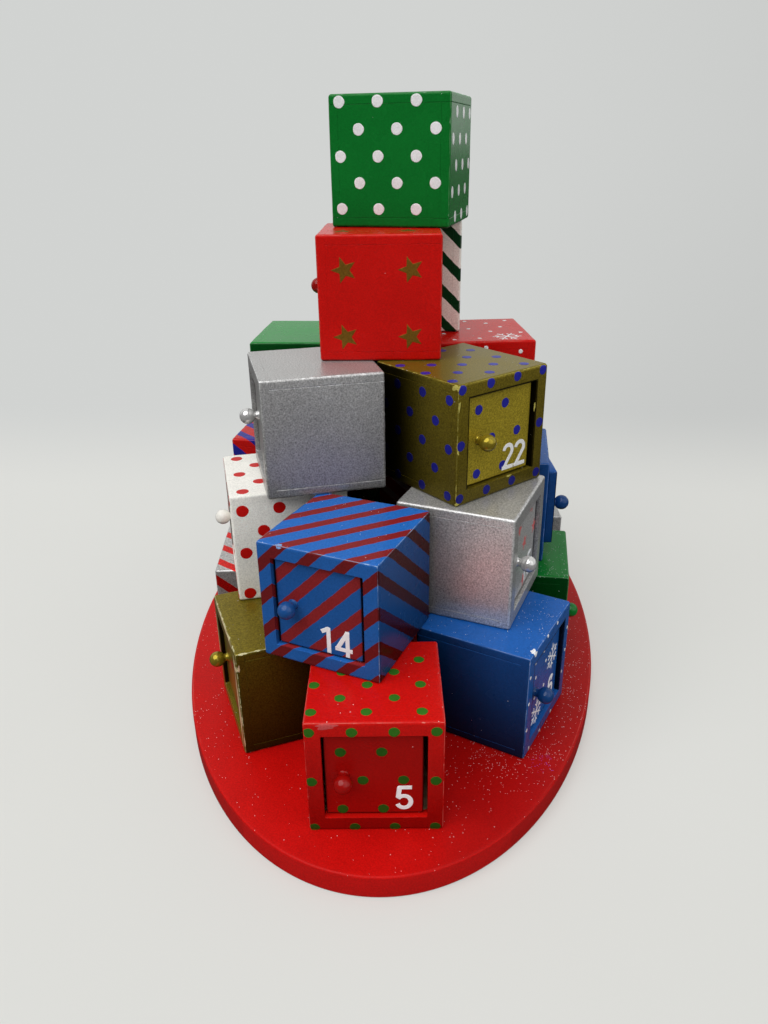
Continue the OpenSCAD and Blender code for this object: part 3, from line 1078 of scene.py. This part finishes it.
def figure_shells(number, finish):
    """The number in plain upright figures, each stroke a strip of paint on the
    door, a hair above the one before."""
    figures = str(number)
    right, foot, gap = ODD_FIGURES_AT.get(number, FIGURES_AT)
    step = FIGURE_WIDE + gap
    start = right * MM - (len(figures) * step - gap) * FIGURE_HIGH
    shells = []
    for order, figure in enumerate(figures):
        for line in figure_strokes(figure):
            placed = (np.array(line) + (order * step, 0)) * FIGURE_HIGH + (start, foot * MM)
            rise = (0.09 + 0.006 * len(shells)) * MM
            points, quads = ribbon(placed, FIGURE_THICK * FIGURE_HIGH, rise)
            points = together(points[:, 0], -LEAF_FACE - points[:, 2], points[:, 1])
            shells.append(closed_shell(points, quads, finish))
    return shells


for number, (ground, _, _) in DESIGNS.items():
    shells = [leaf_shell(), knob_shell(1)] + figure_shells(number, 3)
    shells += painted_shells(number, patches(number, True), 2, LEAF_FACE, False)
    for shell in shells:
        shell["points"] = turned(shell["points"], math.radians(AJAR.get(number, 0.0)), HINGE)
    put_in_place(shells, number)
    # The door's tone: its own paint together with painted light and shade
    tone = DOOR_TONES_AND_PAINTED_LIGHT.get(number, 1.0)
    knob_colour = tuple(part * KNOB_TONES.get(ground, 0.5) for part in PAINTS[ground][0])
    join_shells(f"painted_door_{number:02d}", shells,
                [ground_paint(number, STRIPES_ON_DOOR, "door_paint", tone),
                 paint(f"knob_paint_{number:02d}", knob_colour, PAINTS[ground][1], rough=0.14,
                       metal=0.6 if ground in ("silver", "gold") else 0.0, grain=0.04,
                       glitter=0.1, specular=0.3),
                 pattern_paint(number, "door_pattern", tone),
                 paint(f"figures_{number:02d}", *PAINTS[FIGURE_PAINTS.get(number, "print")],
                       rough=0.85, grain=0.0, glitter=0.0, specular=0.05)],
                f"door_{number:02d}", [f"door_{number:02d}"])


# Floor, light and camera
# A pale seamless floor under soft light from above, and the camera where the
# photograph was taken: at the end with door 5, above the middle of the stack.
FLOOR_REACH = 40.0
# How far the floor lies below the base
FLOOR_DROP = 0.1 * MM
# Colour of the floor to the camera, to matt surfaces and to shiny ones, and how
# much of what the camera sees of it is free of shadow
FLOOR_SEEN = (0.725, 0.725, 0.695)
FLOOR_BOUNCE = (0.40, 0.40, 0.39)
FLOOR_MIRRORED = (0.07, 0.07, 0.07)
FLOOR_EVEN = 0.45
BACKDROP = (0.640, 0.652, 0.640)
# Colour of the room behind the camera, and the room's strength for matt surfaces
# and for shiny ones
ROOM_BEHIND = (0.10, 0.10, 0.10)
ROOM_LIGHT = 0.85
ROOM_MIRRORED = 1.15
# Name, power, angular size, and how far it is tipped to the front and to the right
LAMPS = (("window", 2.2, 60, 25, -24), ("fill", 0.55, 60, 38, 40))
# Camera: where it stands, how it is turned, tipped and tilted, and its lens
EYE = (24.9 * MM, -496.2 * MM, 315.3 * MM)
YAW, PITCH, ROLL = math.radians(-3.684), math.radians(24.909), math.radians(-0.856)
LENS = 28.035


def ray_of(tree, kind):
    """1 for rays of that kind: from the camera, or mirrored."""
    return node(tree, "LightPath", {}).outputs[f"Is {kind} Ray"]


def backdrop(tree, direction):
    """Colour of the backdrop: plain on the left, falling to 0.89 on the right as painted shade."""
    sideways = fade(tree, parts(tree, direction)[0], -0.05, 0.65)
    return toned(tree, BACKDROP, ramp(tree, sideways, -0.11, 1.0))


def seamless_floor():
    """Matt floor that turns into the backdrop with distance. The camera sees part
    of it as even light, so that shadows stay soft, and further off all of it."""
    made, tree, _, where = new_material("floor_paint")
    across, along, _ = parts(tree, where)
    cloud = ramp(tree, blotches(tree, where, 0.3), 0.03, 0.985)
    # Painted shade: the floor falls a little darker towards the right
    shaded_to_right = ramp(tree, fade(tree, across, 0.05, 0.5), -0.06, 1.0)
    near = toned(tree, FLOOR_SEEN, times(tree, cloud, shaded_to_right))
    way = node(tree, "VectorMath", {0: where}, operation="NORMALIZE").outputs[0]
    unseen = mixed(tree, ray_of(tree, "Glossy"), solid(FLOOR_BOUNCE), solid(FLOOR_MIRRORED))
    seen = ray_of(tree, "Camera")
    matt = node(tree, "BsdfDiffuse", {"Color": mixed(tree, seen, unseen, near)}).outputs[0]
    sideways = times(tree, sums(tree, "ABSOLUTE", across), 0.6)
    distance = sums(tree, "MAXIMUM", along, times(tree, along, -0.6))
    away = fade(tree, sums(tree, "MAXIMUM", distance, sideways), -0.02, 0.52)
    colour = mixed(tree, away, near, backdrop(tree, way))
    even = node(tree, "Emission", {"Color": colour, "Strength": 1.0}).outputs[0]
    share = times(tree, sums(tree, "MAXIMUM", away, FLOOR_EVEN), seen)
    both = node(tree, "MixShader", {0: share, 1: matt, 2: even}).outputs[0]
    feed(tree, tree.nodes["Material Output"], {"Surface": both})
    return made


floor_mesh = bpy.data.meshes.new("floor")
floor_mesh.from_pydata([(x * FLOOR_REACH, y * FLOOR_REACH, -FLOOR_DROP)
                        for x, y in ((-1, -1), (1, -1), (1, 1), (-1, 1))], [], [(0, 1, 2, 3)])
floor_mesh.materials.append(seamless_floor())
floor = stand("floor", floor_mesh)

for name, power, spread, front, aside in LAMPS:
    lamp = bpy.data.lights.new(name, "SUN")
    lamp.energy = power
    lamp.angle = math.radians(spread)
    stand(name, lamp).rotation_euler = (math.radians(front), math.radians(aside), 0)

world = bpy.data.worlds.new("room")
world.use_nodes = True
bpy.context.scene.world = world
sky = world.node_tree
way = node(sky, "TexCoord", {}).outputs["Generated"]
forth = fade(sky, dotted(sky, way, (0.5, 0.87, 0.0)), -0.6, 0.15)
room = mixed(sky, forth, solid(ROOM_BEHIND), solid(BACKDROP))
strength = ramp(sky, ray_of(sky, "Glossy"), ROOM_MIRRORED - ROOM_LIGHT, ROOM_LIGHT)
lit = node(sky, "Background", {"Color": room, "Strength": strength}).outputs[0]
shown = node(sky, "Background", {"Color": backdrop(sky, way), "Strength": 1.0}).outputs[0]
both = node(sky, "MixShader", {0: ray_of(sky, "Camera"), 1: lit, 2: shown}).outputs[0]
feed(sky, sky.nodes["World Output"], {"Surface": both})

camera_data = bpy.data.cameras.new("camera")
camera_data.lens = LENS
camera_data.sensor_width = 36.0
camera_data.clip_start = 0.01
camera_data.clip_end = 200.0
camera = stand("camera", camera_data)
ahead = np.array([math.sin(YAW), math.cos(YAW), 0.0])
forward = math.cos(PITCH) * ahead - (0.0, 0.0, math.sin(PITCH))
level = np.array([math.cos(YAW), -math.sin(YAW), 0.0])
upright = np.cross(level, forward)
right = math.cos(ROLL) * level + math.sin(ROLL) * upright
above = -math.sin(ROLL) * level + math.cos(ROLL) * upright
seat = np.eye(4)
seat[:3] = np.stack([right, above, -forward, EYE], axis=1)
camera.matrix_world = Matrix(seat.tolist())
bpy.context.scene.camera = camera

bpy.context.scene.view_settings.view_transform = "Standard"
